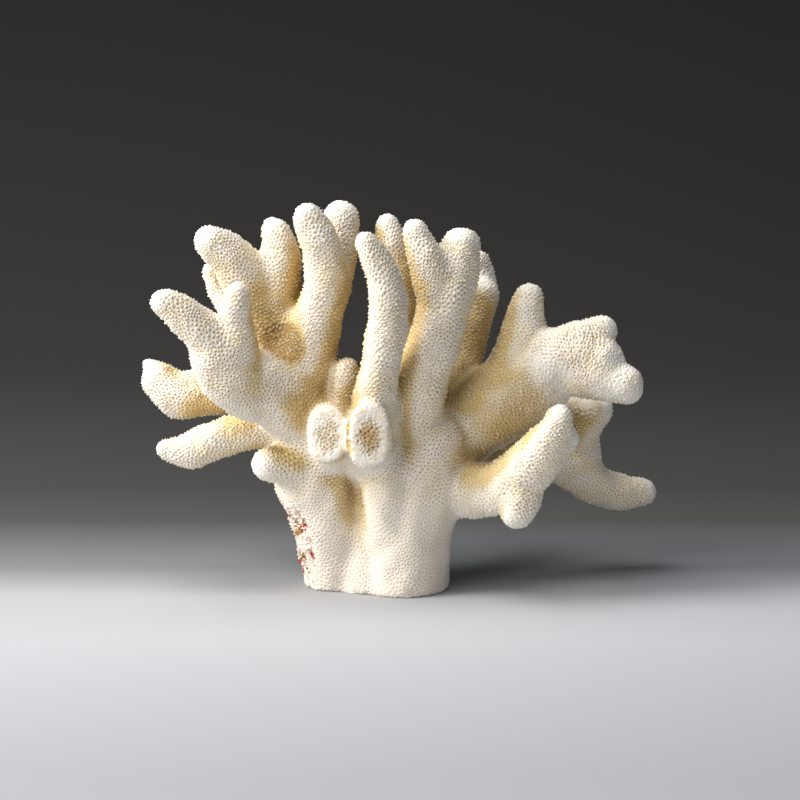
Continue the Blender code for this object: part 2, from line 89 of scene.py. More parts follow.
FINGERS = {
    "left_front_fingers": {
        "hand": (0.85, ((-36, -12, 70, 10.5), (-44.5, -18, 73.5, 11.0), (-51, -23, 79.5, 10.6),
                        (-54, -25, 85, 9.6))),
        "long": (1.0, ((-50, -23, 82, 9), (-58.2, -26, 92, 7.3), (-64.8, -28, 98.6, 6.1),
                       (-71.5, -30, 103.6, 4.7))),
        "thumb": (1.0, ((-48, -23, 82, 8), (-48.3, -25.5, 92, 6.2), (-47.8, -27, 101, 4.8),
                        (-47.4, -28, 107, 3.6))),
    },
    "left_top_fingers": {
        "lobe": (1.0, ((-35, 2, 84, 9.3), (-42.5, 0, 101.5, 9.0), (-47.8, -3, 112, 8.3),
                       (-53.5, -6, 119, 6.7), (-58.5, -8, 123, 4.9))),
        "upright": (1.0, ((-35, 1, 84, 9), (-36, 0, 98, 7.9), (-34.8, -1, 109, 6.9), (-34.2, -2, 119, 6.2),
                          (-36.2, -2, 126, 4.5))),
        "slender": (1.0, ((-41, 3, 94, 6), (-49.5, 11.5, 95, 5.0), (-55.6, 17.5, 101, 4.3),
                          (-60, 19, 110.4, 3.3))),
    },
    "left_tall_fingers": {
        "front": (1.0, ((-25, -6, 78, 9.2), (-22, -8, 93, 8.0), (-18.6, -11, 107.5, 7.0),
                        (-18.8, -13, 117.7, 6.6), (-21.6, -15, 125.6, 6.1), (-24.4, -16, 131.2, 4.8))),
        "rear": (1.0, ((-22, -4, 93, 7.3), (-19, -2, 102, 7.2), (-16.2, 0, 111.5, 7.0), (-14, 2, 122, 6.4),
                       (-13.6, 3, 129.6, 6.0))),
        "web": (1.0, ((-25, -5, 88, 7.5), (-28.5, -4, 94, 6))),
    },
    "left_paddle": {
        "blade": (0.85, ((-32, 6, 60, 8.5), (-49.5, 11, 66.8, 7.2), (-62.5, 12, 67.4, 7.8),
                         (-71.4, 12, 67, 8.6), (-79, 12, 72.2, 5.9))),
        "nub": (1.0, ((-77, 12, 74.2, 3.6), (-82.3, 12, 77.7, 2.2))),
    },
    "left_lower_arm": {
        "arm": (1.0, ((-26, 0, 50, 9), (-38.5, -1, 56.2, 6.3), (-49, -1.5, 55.2, 6.2), (-58.8, -2, 52, 6.5),
                      (-67.8, -2, 48.6, 5.8), (-75.5, -2, 49.6, 3.2))),
    },
    "front_finger": {
        "finger": (1.0, ((-2, -16, 56, 9), (-1.8, -23, 69, 7.0), (0.2, -26, 80, 6.4), (1.9, -28, 89.2, 6.3),
                         (3, -29, 97.8, 6.3), (2.6, -30, 108, 5.9), (-0.4, -31, 116.6, 4.8),
                         (-4.3, -32, 124, 3.6))),
    },
    "rear_finger": {
        "finger": (1.0, ((6, -4, 58, 9), (6.3, -2, 70, 7.0), (6.4, 1, 81, 6.0), (7, 3, 94.5, 5.5),
                         (6.6, 4, 106.8, 5.4), (4.6, 4, 119, 5.2), (2.8, 4, 127, 4.2))),
    },
    "centre_fork": {
        "stalk": (1.0, ((12, -9, 54, 11), (12.8, -14, 68.5, 9.0), (15.8, -14, 79.6, 8.8),
                        (20.2, -12, 92.4, 8.6), (22.9, -11, 105, 8.6))),
        "left_tine": (1.0, ((21, -12, 103, 7.5), (18.6, -13, 109.6, 6.8), (15.2, -14, 118.6, 5.6),
                            (12.3, -14, 126.4, 4.1))),
        "right_lobe": (1.0, ((24, -10, 104, 8), (26, -9, 111.4, 7.7), (27.8, -8, 120.4, 6.8))),
    },
    "right_rear_finger": {
        "finger": (1.0, ((22, 4, 56, 11), (27.5, 8, 70.8, 8), (31.3, 13, 82.5, 5.3), (34.6, 13.5, 93.3, 4.9),
                         (36.8, 13, 102.5, 4.9))),
        "rear_tip": (1.0, ((34, 14, 92, 4.8), (37.2, 17.5, 104, 4.5), (34.4, 18, 113.6, 4.0))),
    },
    "right_arm": {
        "arm": (0.8, ((24, 2, 54, 13), (41, 0, 65.5, 14), (55.5, -3, 77, 11.6), (66, -5, 82, 10.6),
                      (75, -7, 80, 9.6))),
        "upper_tip": (0.85, ((60, -4, 83, 9), (70, -5, 87.5, 7.6), (77, -4, 91.3, 5.2))),
        "lower_tip": (0.9, ((70, -6, 78.3, 9.4), (78, -8, 75.6, 8.5), (84.7, -10, 73.2, 6.6))),
        "upright": (0.95, ((47.5, 0, 76, 10.5), (49.6, 0, 88, 7.8), (50.8, 0, 96.5, 6.4),
                           (51.5, 0, 103.2, 4.3))),
        "underside": (0.9, ((41, 0, 61, 9.5), (49, -1, 65, 10), (57, -3, 71.5, 9))),
    },
    "right_front_arm": {
        "arm": (1.0, ((27, -6, 36, 10), (40.6, -16, 38.0, 8.6), (51, -24, 47, 8.6), (57.6, -28, 56.2, 7.3),
                      (60.9, -30, 65, 4.2))),
        "lump": (1.0, ((57, -26, 54, 6.5), (63.6, -27, 56.8, 4.2))),
        "lower_knob": (1.0, ((45, -20, 39, 8.5), (48.2, -23.5, 37.6, 7.2), (47, -25, 31.6, 5.8))),
    },
    "right_back_arm": {
        "arm": (1.0, ((28, 8, 40, 9), (50.6, 18, 39, 6.5), (62, 23, 40.6, 6.4), (71, 26, 36.4, 7.4),
                      (80, 28, 30.6, 6.8), (89, 29, 28.2, 6.0), (95.2, 30, 28.5, 5.1))),
        "upright": (1.0, ((73.5, 27, 40, 6.5), (71.8, 27, 51, 5.7), (70.4, 26, 60, 4.6))),
        "rear_lobe": (1.0, ((72, 25, 49, 5.2), (79.4, 21, 60.5, 4.3))),
        "rear_web": (1.0, ((73, 25, 50, 5.5), (74.8, 23.5, 58.5, 4.8))),
    },
    "back_left_finger": {
        "finger": (1.0, ((-11, 15, 48, 9), (-28, 32, 68, 6.6), (-36, 41, 82, 5.8), (-41, 46, 94, 4.4))),
        "side_tip": (1.0, ((-31, 36, 74, 5.6), (-26, 45, 82, 5.0), (-24, 51, 90, 4.0))),
    },
    "back_left_arm": {
        "arm": (1.0, ((-14, 16, 38, 9), (-32, 38, 46, 6.5), (-43, 49, 53, 6.0), (-50, 55, 59, 4.5))),
        "side_tip": (1.0, ((-37, 43, 50, 5.8), (-36, 53, 59, 5.0), (-38, 57, 66, 4.0))),
    },
    "back_middle_finger": {
        "finger": (1.0, ((8, 18, 50, 9), (16, 34, 66, 6.6), (21, 41, 80, 6.0), (24, 44, 94, 4.6))),
        "side_tip": (1.0, ((18, 38, 70, 5.5), (12, 48, 78, 5.2), (9, 54, 85, 4.0))),
    },
    "back_right_arm": {
        "arm": (1.0, ((18, 14, 40, 9), (38, 34, 44, 7.2), (49, 47, 50, 6.4), (57, 56, 55, 4.6))),
        "upright": (1.0, ((40, 36, 48, 6.5), (46, 44, 58, 5.6), (49, 48, 66, 4.4))),
    },
}
SKIN_ALLOWANCE = 0.25
HANDLE_SHARE = 1 / 2.5614
SPAN_STEPS = 6
ROUND_STEPS = 24
CAP_STEPS = 6


def unit(vectors):
    """The vectors over their own lengths."""
    return vectors / np.maximum(np.linalg.norm(vectors, axis=-1, keepdims=True), 1e-12)


def limb_path(knots):
    """Path of one limb: on each span a cubic curve whose handles follow the mean of the two directions
    that meet at the knot, each 0.39 of the span long; the radius goes straight from knot to knot."""
    place = knots[:, :3]
    span = np.diff(place, axis=0)
    length = np.linalg.norm(span, axis=1, keepdims=True)
    way = span / length
    along = unit(np.vstack((way[:1], way[:-1] + way[1:], way[-1:])))
    step = np.linspace(0.0, 1.0, SPAN_STEPS, endpoint=False)[None, :, None]
    start = place[:-1, None]
    end = place[1:, None]
    out_of = start + (along[:-1] * length * HANDLE_SHARE)[:, None]
    into = end - (along[1:] * length * HANDLE_SHARE)[:, None]
    back = 1 - step
    curve = start * back ** 3 + 3 * out_of * step * back ** 2 + 3 * into * step ** 2 * back + end * step ** 3
    radius = knots[:-1, 3][:, None, None] * back + knots[1:, 3][:, None, None] * step
    centres = np.vstack((curve.reshape(-1, 3), place[-1:]))
    radii = np.append(radius.ravel(), knots[-1, 3])
    return centres, radii


def limb_surface(squash, points):
    """Skin of one limb: a circle carried square to the path and scaled by the radius, closed at both ends by
    rings that shrink as the cosine while they move out as the sine, then squashed in depth."""
    knots = np.array(points, dtype=float)
    knots[:, 1] /= squash
    knots[:, 3] += SKIN_ALLOWANCE
    centres, radii = limb_path(knots)
    ahead = unit(np.gradient(centres, axis=0))
    lean = np.radians(np.linspace(90.0, 0.0, CAP_STEPS, endpoint=False))[:, None]
    first = centres[:1] - ahead[:1] * radii[0] * np.sin(lean)
    last = (centres[-1:] + ahead[-1:] * radii[-1] * np.sin(lean))[::-1]
    centres = np.vstack((first, centres, last))
    ahead = np.vstack((np.repeat(ahead[:1], CAP_STEPS, 0), ahead, np.repeat(ahead[-1:], CAP_STEPS, 0)))
    shrink = np.cos(lean[:, 0])
    radii = np.concatenate((radii[0] * shrink, radii, (radii[-1] * shrink)[::-1]))
    spare_axis = np.eye(3)[np.argmin(np.abs(knots[-1, :3] - knots[0, :3]))]
    side = unit(np.cross(ahead, spare_axis))
    across = np.cross(ahead, side)
    turn = np.linspace(0.0, 2 * np.pi, ROUND_STEPS, endpoint=False)[None, :, None]
    circle = np.cos(turn) * side[:, None] + np.sin(turn) * across[:, None]
    rings = centres[:, None] + radii[:, None, None] * circle
    rings[..., 1] *= squash
    rows = len(centres)
    poles = rings[[0, -1]].mean(axis=1)
    verts = np.vstack((rings[1:-1].reshape(-1, 3), poles))
    grid = np.arange((rows - 2) * ROUND_STEPS).reshape(rows - 2, ROUND_STEPS)
    beside = np.roll(grid, -1, axis=1)
    quads = np.stack((grid[:-1], beside[:-1], beside[1:], grid[1:]), axis=-1).reshape(-1, 4)
    foot = np.full(ROUND_STEPS, len(verts) - 2)
    head = np.full(ROUND_STEPS, len(verts) - 1)
    fans = np.vstack((np.stack((foot, beside[0], grid[0]), 1), np.stack((head, grid[-1], beside[-1]), 1)))
    return verts * MM, quads, fans


def all_limbs():
    limbs = list(TRUNK.values())
    for group in FINGERS.values():
        limbs += list(group.values())
    return limbs


# Fusing of the limbs: where branches of a colony touch they grow into one, with webs between them.
# The foot was then sawn off flat, and two branches in front were snapped off.
FUSE_VOXEL = 1.0 * MM
FUSE_SMOOTHING = 7
SKIN_VOXEL = 0.92 * MM
SKIN_SMOOTHING = 2
SMOOTH_SHARE = 0.5
BLOCK_SIDE = 300 * MM
STUMP_FLATS = (
    {"centre": (-17.4, -31.0, 59.0), "facing": (-0.04, -0.97, 0.20), "half_sides": (7.1, 14.0)},
    {"centre": (-3.4, -35.5, 59.2), "facing": (0.10, -0.98, 0.12), "half_sides": (9.5, 14.0)},
)
STUMP_CUT_DEPTH = 30.0


def linked(name, mesh):
    made = bpy.data.objects.new(name, mesh)
    bpy.context.scene.collection.objects.link(made)
    return made


def applied(obj):
    """The mesh that the object's modifiers give; the object is removed."""
    bpy.context.view_layer.update()
    mesh = bpy.data.meshes.new_from_object(obj.evaluated_get(bpy.context.evaluated_depsgraph_get()))
    bpy.data.objects.remove(obj, do_unlink=True)
    return mesh


def raw_limbs():
    """All limbs in one mesh, still passing through each other, with their faces turned outwards."""
    mesh = bpy.data.meshes.new("limbs")
    verts = []
    faces = []
    count = 0
    for squash, points in all_limbs():
        skin, quads, fans = limb_surface(squash, points)
        verts.append(skin)
        faces += (quads + count).tolist() + (fans + count).tolist()
        count += len(skin)
    mesh.from_pydata(np.vstack(verts).tolist(), [], faces)
    shape = bmesh.new()
    shape.from_mesh(mesh)
    bmesh.ops.recalc_face_normals(shape, faces=shape.faces)
    shape.to_mesh(mesh)
    shape.free()
    return mesh


def block(centre, facing, half_sides):
    """A block whose middle lies at the centre, with its last side along the facing."""
    shape = bmesh.new()
    turn = Vector(facing).normalized().to_track_quat("Z", "Y").to_matrix().to_4x4()
    sides = Matrix.Diagonal((2 * half_sides[0], 2 * half_sides[1], 2 * half_sides[2], 1.0))
    bmesh.ops.create_cube(shape, size=1.0, matrix=Matrix.Translation(Vector(centre)) @ turn @ sides)
    mesh = bpy.data.meshes.new("block")
    shape.to_mesh(mesh)
    shape.free()
    return linked("block", mesh)


body = linked("body", raw_limbs())
fuse = body.modifiers.new("fuse", "REMESH")
fuse.mode = "VOXEL"
fuse.voxel_size = FUSE_VOXEL
fillet = body.modifiers.new("fillet", "SMOOTH")
fillet.factor = SMOOTH_SHARE
fillet.iterations = FUSE_SMOOTHING
body = linked("body", applied(body))
blocks = [block((0.0, 0.0, -BLOCK_SIDE / 2), (0, 0, 1), (BLOCK_SIDE / 2,) * 3)]
for flat in STUMP_FLATS:
    half_depth = STUMP_CUT_DEPTH * MM / 2
    middle = np.array(flat["centre"]) * MM + unit(np.array(flat["facing"])) * half_depth
    half_sides = [side * MM for side in flat["half_sides"]]
    blocks.append(block(middle, flat["facing"], (*half_sides, half_depth)))
for tool in blocks:
    cut = body.modifiers.new("cut", "BOOLEAN")
    cut.operation = "DIFFERENCE"
    cut.object = tool
skin = body.modifiers.new("skin", "REMESH")
skin.mode = "VOXEL"
skin.voxel_size = SKIN_VOXEL
even = body.modifiers.new("even", "SMOOTH")
even.factor = SMOOTH_SHARE
even.iterations = SKIN_SMOOTHING
fine = body.modifiers.new("fine", "SUBSURF")
fine.levels = 1
fine.render_levels = 1
skin_mesh = applied(body)
for tool in blocks:
    bpy.data.objects.remove(tool, do_unlink=True)


# Cups of the polyps: each sat in a round pit of the skeleton, about 1.4 mm from the next.
# Cells of even size are spread over the skin, and the pits are sunk in the middles of the cells.
CUP_SPACING = 1.38
SETTLING_ROUNDS = 10
FIRST_SWEEPS = 14
LATER_SWEEPS = 4
rng = np.random.default_rng(20)


def mesh_arrays(mesh):
    """Corner positions, edges, and the faces as triangles of a mesh."""
    places = np.empty(len(mesh.vertices) * 3, dtype=np.float32)
    mesh.vertices.foreach_get("co", places)
    edges = np.empty(len(mesh.edges) * 2, dtype=np.int32)
    mesh.edges.foreach_get("vertices", edges)
    mesh.calc_loop_triangles()
    triangles = np.empty(len(mesh.loop_triangles) * 3, dtype=np.int32)
    mesh.loop_triangles.foreach_get("vertices", triangles)
    return places.reshape(-1, 3).astype(float), edges.reshape(-1, 2), triangles.reshape(-1, 3)


def neighbour_table(edges, count):
    """One row for each corner with the corners that it is joined to, filled up with itself."""
    source = np.concatenate((edges[:, 0], edges[:, 1]))
    target = np.concatenate((edges[:, 1], edges[:, 0]))
    order = np.argsort(source, kind="stable")
    source = source[order]
    target = target[order]
    first = np.searchsorted(source, np.arange(count))
    rank = np.arange(len(source)) - first[source]
    table = np.repeat(np.arange(count)[:, None], rank.max() + 1, axis=1)
    table[source, rank] = target
    return table


def corner_areas(places, triangles, count):
    """A third of the area of the triangles round each corner."""
    corners = places[triangles]
    normal = np.cross(corners[:, 1] - corners[:, 0], corners[:, 2] - corners[:, 0])
    area = np.linalg.norm(normal, axis=1) / 6
    return np.bincount(triangles.ravel(), np.repeat(area, 3), count)


def spread(label, centres, places, table, sweeps):
    """Each corner takes over the cell of whichever neighbour has the nearer centre, several times over."""
    distance = np.full(len(places), np.inf)
    known = label >= 0
    distance[known] = ((places[known] - centres[label[known]]) ** 2).sum(1)
    for _ in range(sweeps):
        before = label.copy()
        for column in range(table.shape[1]):
            offered = before[table[:, column]]
            offer = ((places - centres[offered]) ** 2).sum(1)
            offer[offered < 0] = np.inf
            better = offer < distance
            label[better] = offered[better]
            distance[better] = offer[better]
    return label


def even_cells(places, table, areas, count):
    """Cells of even size: random seeds, then each centre moves to the middle of its cell, over and over."""
    seeds = rng.choice(len(places), count, replace=False, p=areas / areas.sum())
    label = np.full(len(places), -1)
    label[seeds] = np.arange(count)
    centres = places[seeds]
    label = spread(label, centres, places, table, FIRST_SWEEPS)
    for _ in range(SETTLING_ROUNDS):
        weight = np.bincount(label, areas, count)
        for axis in range(3):
            centres[:, axis] = np.bincount(label, areas * places[:, axis], count) / np.maximum(weight, 1e-18)
        label = spread(label, centres, places, table, LATER_SWEEPS)
    return label, centres


places, edges, triangles = mesh_arrays(skin_mesh)
areas = corner_areas(places, triangles, len(places))
cell_area = CUP_SPACING ** 2 * np.sqrt(3) / 2 * MM ** 2
count = int(areas.sum() / cell_area)
table = neighbour_table(edges, len(places))
label, centres = even_cells(places, table, areas, count)
named = label[triangles]
apart = (named[:, 0] != named[:, 1]) & (named[:, 1] != named[:, 2]) & (named[:, 0] != named[:, 2])
cells = named[apart]
_, keep = np.unique(np.sort(cells, axis=1), axis=0, return_index=True)
cells = cells[keep]


def mended(cells, centres):
    """The cell triangles as a closed skin: the faces at doubtful edges come out, and the holes are filled."""
    mesh = bpy.data.meshes.new("cells")
    mesh.from_pydata(centres.tolist(), [], cells.tolist())
    shape = bmesh.new()
    shape.from_mesh(mesh)
    bad = {face for edge in shape.edges if len(edge.link_faces) != 2 for face in edge.link_faces}
    bmesh.ops.delete(shape, geom=list(bad), context="FACES_ONLY")
    bmesh.ops.delete(shape, geom=[edge for edge in shape.edges if not edge.link_faces], context="EDGES")
    rim = [edge for edge in shape.edges if len(edge.link_faces) == 1]
    filled = bmesh.ops.holes_fill(shape, edges=rim, sides=0)
    bmesh.ops.triangulate(shape, faces=filled["faces"])
    bmesh.ops.delete(shape, geom=[corner for corner in shape.verts if not corner.link_faces], context="VERTS")
    bmesh.ops.recalc_face_normals(shape, faces=shape.faces)
    shape.to_mesh(mesh)
    shape.free()
    return mesh


cup_mesh = mended(cells, centres)
cups, cup_edges, cup_triangles = mesh_arrays(cup_mesh)


def corner_normals(places, triangles):
    """Mean of the surrounding faces' directions, weighted by their areas."""
    corners = places[triangles]
    facing = np.cross(corners[:, 1] - corners[:, 0], corners[:, 2] - corners[:, 0])
    facing = np.repeat(facing, 3, axis=0)
    total = [np.bincount(triangles.ravel(), facing[:, axis], len(places)) for axis in range(3)]
    return unit(np.stack(total, axis=1))


cup_normals = corner_normals(cups, cup_triangles)


# Growth of the skeleton: every branch lengthened at its tip, so hoods lean that way, tips stay white,
# and the oldest hollows between the branches take the most yellow-brown colour, partly real staining and
# partly painted shade.
BURIED_ENDS = ("hand", "stalk", "web")
FREE_TRUNK_ENDS = ("left_knob",)
GROWN = ["trunk", *FINGERS]
PULL_REACH = 1.2
SHADE_ANGLE = 0.15
TIP_PAST = (-0.3, 0.9)
TIP_NEAR = (1.35, 1.9)
POINTS_AT_ONCE = 2000


def limb_stations():
    """Points along every limb: place, radius, squash, direction of growth, length that it stands for,
    number of its piece, and whether it is a free tip; piece 0 is the trunk."""
    rows = []
    for number, (group_name, group) in enumerate([("trunk", TRUNK), *FINGERS.items()]):
        for name, (squash, points) in group.items():
            knots = np.array(points, dtype=float)
            centres, radii = limb_path(knots)
            ahead = unit(np.gradient(centres, axis=0))
            share = np.linalg.norm(np.gradient(centres, axis=0), axis=1)
            free = name in FREE_TRUNK_ENDS if group_name == "trunk" else name not in BURIED_ENDS
            tip = np.zeros(len(centres))
            tip[-1] = float(free)
            ones = np.ones(len(centres))
            rows.append(np.column_stack((centres, radii, ones * squash, ahead, share, ones * number, tip)))
    return np.vstack(rows)


stations = limb_stations()
station_place = stations[:, :3]
station_radius = stations[:, 3]
station_squash = stations[:, 4]
station_ahead = stations[:, 5:8]
station_share = stations[:, 8]
station_piece = stations[:, 9].astype(int)
station_tip = stations[:, 10] > 0.5


def ramp(values, low, high):
    """Smooth step from 0 at low to 1 at high."""
    t = np.clip((values - low) / (high - low), 0.0, 1.0)
    return t * t * (3 - 2 * t)


def growth_and_hollows(points, normals):
    """Growth direction, distance to each piece, tip and hollow values at the points, in millimetres.
    A station pulls the growth by exp(-distance / reach), and it shades a point by its own size over its
    distance squared. A point is part of a tip past its middle and near it, both in radii of the tip."""
    growth = np.zeros_like(points)
    reach = np.full((len(points), len(GROWN)), 1e3)
    tip = np.zeros(len(points))
    hollow = np.zeros(len(points))
    scale = np.ones((len(stations), 3))
    scale[:, 1] = 1 / station_squash
    for start in range(0, len(points), POINTS_AT_ONCE):
        part = slice(start, start + POINTS_AT_ONCE)
        offset = station_place[None] - points[part, None]
        away = np.linalg.norm(offset * scale[None], axis=2)
        clear = away - station_radius[None]
        pull = np.exp(-np.maximum(clear, -2.0) / PULL_REACH)
        growth[part] = pull @ station_ahead
        for number in range(len(GROWN)):
            reach[part, number] = clear[:, station_piece == number].min(axis=1)
        straight = np.maximum(np.linalg.norm(offset, axis=2), 1e-6)
        faced = np.maximum((offset * normals[part, None]).sum(2) / straight - SHADE_ANGLE, 0.0)
        hollow[part] = (faced * station_radius * station_share / straight ** 2).sum(1)
        past = -(offset[:, station_tip] * station_ahead[station_tip]).sum(2) / station_radius[station_tip]
        near = straight[:, station_tip] / station_radius[station_tip]
        tip[part] = (ramp(past, *TIP_PAST) * (1 - ramp(near, *TIP_NEAR))).max(axis=1)
    return growth, reach, tip, hollow


cup_growth, cup_reach, cup_tip, cup_hollow = growth_and_hollows(cups / MM, cup_normals)
cup_growth -= (cup_growth * cup_normals).sum(1, keepdims=True) * cup_normals
lean_amount = np.linalg.norm(cup_growth, axis=1)
cup_growth = unit(cup_growth)


def ripple(points, wavelength, waves=24):
    """Soft lumps: the mean of plane waves in random directions, with wavelengths near the one given."""
    way = unit(rng.normal(size=(waves, 3)))
    size = 2 * np.pi / (wavelength * rng.uniform(0.7, 1.5, waves))
    phase = rng.uniform(0, 2 * np.pi, waves)
    return np.sin(points @ (way * size[:, None]).T + phase).sum(1) / np.sqrt(waves)


# Broken and sawn places: rough porous flats on the two stumps, a sawn flat under the foot,
# and on the left of the foot a brown and red crust of coralline algae, eaten into small holes.
# The hollows take a yellow-brown colour that is partly real staining and partly painted shade; a spot has its
# middle, its reach and how much it adds, or takes off.
CRUST_MIDDLE = (-29.5, -6.0, 15.5)
CRUST_REACH = (7.5, 9.0, 20.0)
# Spots of yellow-brown colour, most of them darkening places where shade falls: painted shade mixed with real
# staining.
STAIN_AND_SHADE_SPOTS = (
    ((27, -10, 58), 20, 0.1),
    ((45, -6, 68), 20, 0.5),
    ((-33, -11, 87), 10.5, 3.6),
    ((-36, -6, 99), 17, 0.45),
    ((-48, -30, 76), 14, 0.4),
    ((-11.8, -11, 74), 12, -0.6),
    ((-9.5, -10, 39), 14, 0.1),
    ((-10, -9, 25), 15, 0.4),
)
FLAT_DEPTH = 0.7
FLAT_REACH = 14.0
CORE_REACH = (6.0, 6.0, 9.5)
CORE_SHARES = (0.45, 0.9)
SAWN_TOP = 0.35
FOOT_TOP = (26.0, 50.0)
FOOT_RIGHT_END = (34.0, 40.0)

cup_mm = cups / MM
broken = np.zeros(len(cups))
broken_inside = np.zeros(len(cups))
core = np.zeros(len(cups))
for flat, core_share in zip(STUMP_FLATS, CORE_SHARES):
    facing = unit(np.array(flat["facing"]))
    offset = cup_mm - np.array(flat["centre"])
    on_face = (np.abs(offset @ facing) < FLAT_DEPTH) & (cup_normals @ facing > 0.6)
    on_face &= np.linalg.norm(offset, axis=1) < FLAT_REACH
    broken[on_face] = 1.0
    middle = np.linalg.norm(offset[on_face] / CORE_REACH, axis=1) + 0.10 * ripple(cup_mm[on_face], 4.0)
    broken_inside[on_face] = 1 - ramp(middle, 0.55, 0.85)
    core[on_face] = core_share * (1 - ramp(middle, 0.30, 0.75))
sawn = (cup_mm[:, 2] < SAWN_TOP) & (cup_normals[:, 2] < -0.6)
from_crust = np.linalg.norm((cup_mm - CRUST_MIDDLE) / CRUST_REACH, axis=1) + 0.22 * ripple(cup_mm, 4.0)
crust = 1 - ramp(from_crust, 0.75, 1.0)
foot = 1 - ramp(cup_mm[:, 2] + 2.0 * ripple(cup_mm, 14.0), *FOOT_TOP)
foot *= (cup_reach[:, 0] < 1.5) * (1 - ramp(cup_mm[:, 0], *FOOT_RIGHT_END))
# Shelter: how much the limbs enclose each point, plus the spots; it drives both the real staining and the
# painted shade.
shelter = cup_hollow + 0.12 * ripple(cup_mm, 9.0)
for middle, reach, amount in STAIN_AND_SHADE_SPOTS:
    shelter += amount * (1 - ramp(np.linalg.norm(cup_mm - np.array(middle), axis=1), 0.4 * reach, reach))
stain_and_shade = ramp(shelter, 0.3, 1.2)
foot *= 1 - 0.8 * stain_and_shade


# Relief of the cups, as the polyps built it: each pit is a small cone with its middle sunk, the walls
# between the pits are a low network, and the tip side of each rim is drawn out into a hood.
# A hood leans to the tip of its branch. Heights and depths are in millimetres.
PIT_DEPTH = (0.22, 0.40)
PIT_SHARE = (0.26, 0.32)
HOOD_HEIGHT = (0.25, 0.85)
HOOD_LEAN = 0.35
WALL_HEIGHT = 0.16
LUMP_HEIGHT = 0.28
LUMP_WIDTH = 9.0
REAR_DIP = 0.0525
HOOD_SIDE = (0.62, 1.0)
HOOD_PEAK = (0.78, 1.0)

cup_count = len(cups)
lumps = LUMP_HEIGHT * ripple(cup_mm, LUMP_WIDTH) * ~sawn * (1 - broken)
smooth_place = cup_mm + cup_normals * lumps[:, None]
relief = (1 - 0.15 * foot) * (1 - 0.35 * cup_tip)
pit_share = rng.uniform(*PIT_SHARE, cup_count)
pit_depth = rng.uniform(*PIT_DEPTH, cup_count) * relief * (1 - 0.3 * cup_tip)
pit_depth = np.where(broken > 0, broken_inside * rng.uniform(0.0, 0.9, cup_count), pit_depth)
pit_depth = np.where(sawn, rng.uniform(0.0, 0.35, cup_count), pit_depth)
pit_depth += crust * rng.uniform(0.0, 0.9, cup_count)
hood = rng.uniform(*HOOD_HEIGHT, cup_count) * relief * (1 - crust) * (1 - 0.75 * foot)
hood *= (broken == 0) & ~sawn
hood *= 0.55 + 0.45 * ramp(lean_amount, 0.15, 0.7)
rough = 0.03 + 0.13 * broken_inside + 0.36 * crust + 0.04 * cup_tip
rough[sawn] = 0.0

first = np.concatenate((cup_edges[:, 0], cup_edges[:, 1]))
second = np.concatenate((cup_edges[:, 1], cup_edges[:, 0]))
toward = smooth_place[second] - smooth_place[first]
rim_place = smooth_place[first] + toward * pit_share[first][:, None]
facing_tip = (unit(toward) * cup_growth[first]).sum(1)
rim_hood = 0.75 * hood[first] * ramp(facing_tip, *HOOD_SIDE)
rim_rise = rim_hood + rough[first] * rng.normal(size=len(first)) + 0.5 * WALL_HEIGHT * relief[first]
rim_rise -= REAR_DIP * hood[first] * (1 - ramp(facing_tip, -0.6, 0.4))
rim_place += cup_normals[first] * rim_rise[:, None] + cup_growth[first] * (HOOD_LEAN * rim_hood)[:, None]

wall_place = smooth_place[cup_triangles].mean(axis=1)
wall_normal = unit(cup_normals[cup_triangles].sum(axis=1))
wall_rise = WALL_HEIGHT * relief[cup_triangles].mean(axis=1) * (1 + 1.2 * foot[cup_triangles].mean(axis=1))
wall_lean = np.zeros(len(cup_triangles))
for corner in range(3):
    cup = cup_triangles[:, corner]
    facing_tip = (unit(wall_place - smooth_place[cup]) * cup_growth[cup]).sum(1)
    wall_lean = np.maximum(wall_lean, hood[cup] * ramp(facing_tip, *HOOD_PEAK))
wall_rise = wall_rise + wall_lean + rough[cup_triangles].mean(axis=1) * rng.normal(size=len(cup_triangles))
not_flat = ~sawn[cup_triangles].all(axis=1)
wall_place += wall_normal * (wall_rise * not_flat)[:, None]
pit_place = smooth_place - cup_normals * pit_depth[:, None]

# One corner for each pit, two for each edge between pits, one for each wall where three pits meet.
edge_count = len(cup_edges)
corner_key = cup_edges.min(axis=1).astype(np.int64) * cup_count + cup_edges.max(axis=1)
key_order = np.argsort(corner_key)
sorted_keys = corner_key[key_order]


def rim_corner(near, far):
    """Number of the rim corner beside the first cup, on the edge that leads to the second."""
    key = np.minimum(near, far).astype(np.int64) * cup_count + np.maximum(near, far)
    edge = key_order[np.searchsorted(sorted_keys, key)]
    return cup_count + edge + edge_count * (cup_edges[edge, 0] != near)


a, b, c = cup_triangles.T
ring = [rim_corner(*pair) for pair in ((a, b), (b, a), (b, c), (c, b), (c, a), (a, c))]
wall = cup_count + 2 * edge_count + np.arange(len(cup_triangles))
faces = [(a, ring[0], ring[5]), (b, ring[2], ring[1]), (c, ring[4], ring[3])]
faces += [(wall, ring[step], ring[(step + 1) % 6]) for step in range(6)]
relief_faces = np.stack([np.stack(face, axis=1) for face in faces], axis=1)
relief_places = np.vstack((pit_place, rim_place, wall_place))


def carried(values):
    """A value of the cups carried to every corner: its own at pit and rim, the mean of three at a wall."""
    return np.concatenate((values, values[first], values[cup_triangles].mean(axis=1)))


